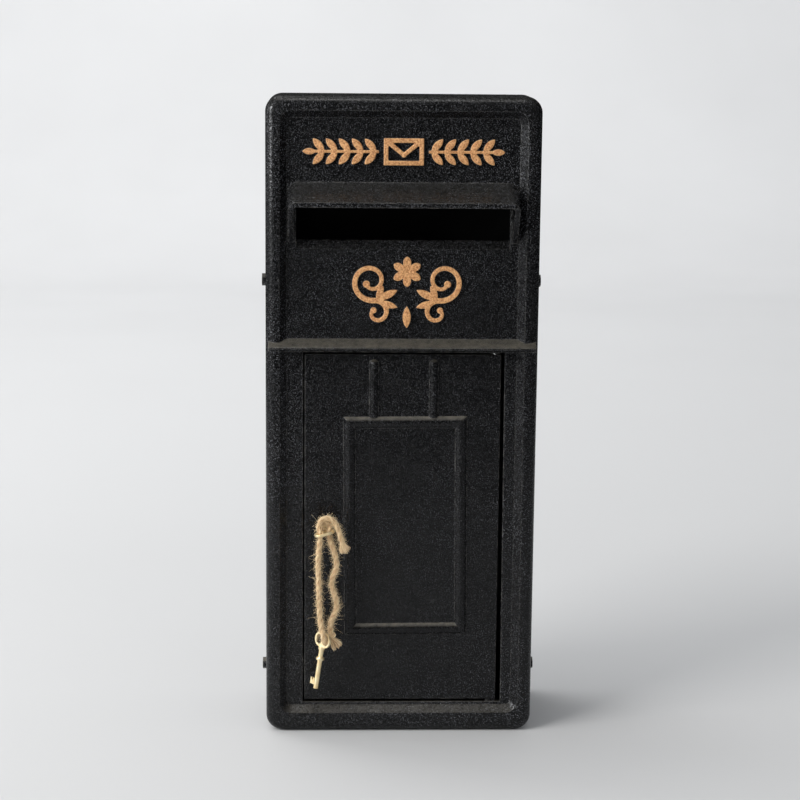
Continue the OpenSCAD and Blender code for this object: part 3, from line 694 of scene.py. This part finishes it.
NODE_LOOKS = {
    FRONT: ("front_casting",),
    DOOR: ("door",),
    CAST: ("side_bolts", "thrust_washer"),
    SHEET: ("rear_box",),
    ZINC: ("side_washers", "side_nuts", "upper_hinge_pin", "lower_hinge_pin", "lock_plate", "lock_case",
           "lock_screws", "ward_ring", "bolt_stud", "bolt_spring"),
    BRASS: ("lock_bolt", "key", "spare_key"),
}
for material, names in NODE_LOOKS.items():
    for name in names:
        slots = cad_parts[name].data.materials
        for i in range(len(slots)):
            slots[i] = material


# Studio


TABLE = (-1.4, 1.4, -1.1, 1.4)  # the pale part of the floor that the gloss paint mirrors


def studio():
    floor = Looks("studio_floor")
    depth = floor.axis(floor.place, 1)
    cloud = floor.span(floor.noise(1.5, 3), 0.3, 0.7, 0.0, 0.25)
    # Painted light: the floor is darker near the front and lighter towards the back and up the wall.
    tone = floor.mix(floor.span(depth, 0.6, 3.4), (0.60, 0.603, 0.605), (0.80, 0.802, 0.805))
    tone = floor.mix(cloud, tone, (0.64, 0.64, 0.64))
    floor.set(Base_Color=tone, Roughness=0.75, Specular_IOR_Level=0.1)
    back, bend, top = 3.2, 1.6, 7.0
    line = [(-7.0, 0.0), (TABLE[2], 0.0), (TABLE[3], 0.0), (back, 0.0)]
    line += [(back + bend * math.sin(a), bend - bend * math.cos(a)) for a in
             (PI / 2 * k / 16 for k in range(1, 17))]
    line.append((back + bend, top))
    across = (-9.0, TABLE[0], TABLE[1], 9.0)
    for name in ("studio_table", "studio_room"):
        bm = bmesh.new()
        rows = [[bm.verts.new((x, y, z - 0.0002)) for y, z in line] for x in across]
        for k in range(3):
            for i in range(len(line) - 1):
                if ((k, i) == (1, 1)) == (name == "studio_table"):
                    bm.faces.new((rows[k][i], rows[k + 1][i], rows[k + 1][i + 1], rows[k][i + 1]))
        loose = [v for v in bm.verts if not v.link_faces]
        bmesh.ops.delete(bm, geom=loose, context="VERTS")
        stage = new_object(name, bm)
        if stage.data.polygons[0].normal.z < 0:
            stage.data.flip_normals()
        stage.data.materials.append(floor.material)
        stage.visible_glossy = name == "studio_table"


def light(name, at, to, size, power, colour=(1, 1, 1), height=None, gloss="both"):
    data = bpy.data.lights.new(name, "AREA")
    data.shape = "RECTANGLE"
    data.size = size
    data.size_y = height or size
    data.energy = power
    data.color = colour
    obj = bpy.data.objects.new(name, data)
    bpy.context.collection.objects.link(obj)
    obj.location = at
    obj.rotation_euler = (Vector(to) - Vector(at)).to_track_quat("-Z", "Y").to_euler()
    obj.visible_camera = False
    obj.visible_diffuse = gloss != "only"
    obj.visible_glossy = gloss != "none"


AMBIENT = 0.50  # soft light all round
DARK_ROOM = 0.025  # what gloss paint mirrors of the room


def lights():
    aim = (0, 0, 0.3)
    light("key", (-2.5, -1.7, 2.6), aim, 1.7, 90, (1.0, 0.985, 0.965), gloss="none")
    light("side", (-2.9, 0.0, 1.1), aim, 1.6, 40, (0.97, 0.985, 1.0), height=1.2)
    light("back_wash", (-1.2, 1.2, 3.8), (0.3, 4.2, 1.2), 2.2, 85)
    light("overhead", (-0.3, -0.7, 2.5), aim, 1.3, 22, (1.0, 0.99, 0.975), height=0.7, gloss="only")
    light("sheen", (-1.5, -1.1, 0.9), aim, 0.5, 48, (0.97, 0.985, 1.0), height=1.0, gloss="only")
    world = bpy.data.worlds.new("studio_light")
    world.use_nodes = True
    nodes, links = world.node_tree.nodes, world.node_tree.links
    sky = nodes["Background"]
    sky.inputs["Color"].default_value = (0.95, 0.97, 1.0, 1)
    ray = nodes.new("ShaderNodeLightPath")
    ambient = nodes.new("ShaderNodeMix")
    ambient.inputs["A"].default_value = AMBIENT
    ambient.inputs["B"].default_value = DARK_ROOM
    links.new(ray.outputs["Is Glossy Ray"], ambient.inputs["Factor"])
    links.new(ambient.outputs["Result"], sky.inputs["Strength"])
    bpy.context.scene.world = world
    bpy.context.scene.view_settings.view_transform = "Standard"


studio()
lights()
